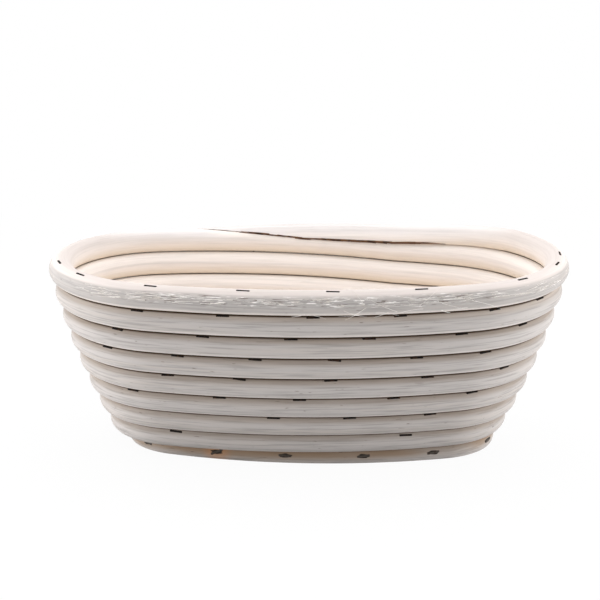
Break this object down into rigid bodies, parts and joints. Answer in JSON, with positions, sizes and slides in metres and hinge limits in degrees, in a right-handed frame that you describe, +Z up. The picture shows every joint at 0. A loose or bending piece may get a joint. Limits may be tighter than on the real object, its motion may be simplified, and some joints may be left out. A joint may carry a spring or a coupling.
{
  "type": "oval proving basket",
  "caption": "Oval proving basket for bread dough: peeled rattan cane coiled flat in the base, then wound up a flared wall, stapled turn to turn, ending in a planed wedge at the rim.",
  "frame": {"origin": "middle of the overall box, on the flat underside of the base", "axes": "+X along the basket, +Z up out of its mouth, the front of the picture is -Y"},
  "size_m": [0.2502, 0.1536, 0.0954],
  "materials": {
    "rattan": "bare peeled and bleached rattan, matt, with fine grain along the cane",
    "staple_wire": "dull flat wire, darkened by damp flour"
  },
  "bodies": {
    "root": {"core_cane_front": "rattan", "core_cane_mid_front": "rattan", "core_cane_mid_back": "rattan", "core_cane_back": "rattan", "base_cane": "rattan", "first_wall_cane": "rattan", "lower_wall_cane": "rattan", "upper_wall_cane": "rattan", "rim_cane": "rattan", "base_core_staples": "staple_wire", "base_edge_staples": "staple_wire", "course_1_staples": "staple_wire", "course_2_staples": "staple_wire", "course_3_staples": "staple_wire", "course_4_staples": "staple_wire", "course_5_staples": "staple_wire", "course_6_staples": "staple_wire", "course_7_staples": "staple_wire", "rim_staples": "staple_wire"}
  },
  "joints": []
}
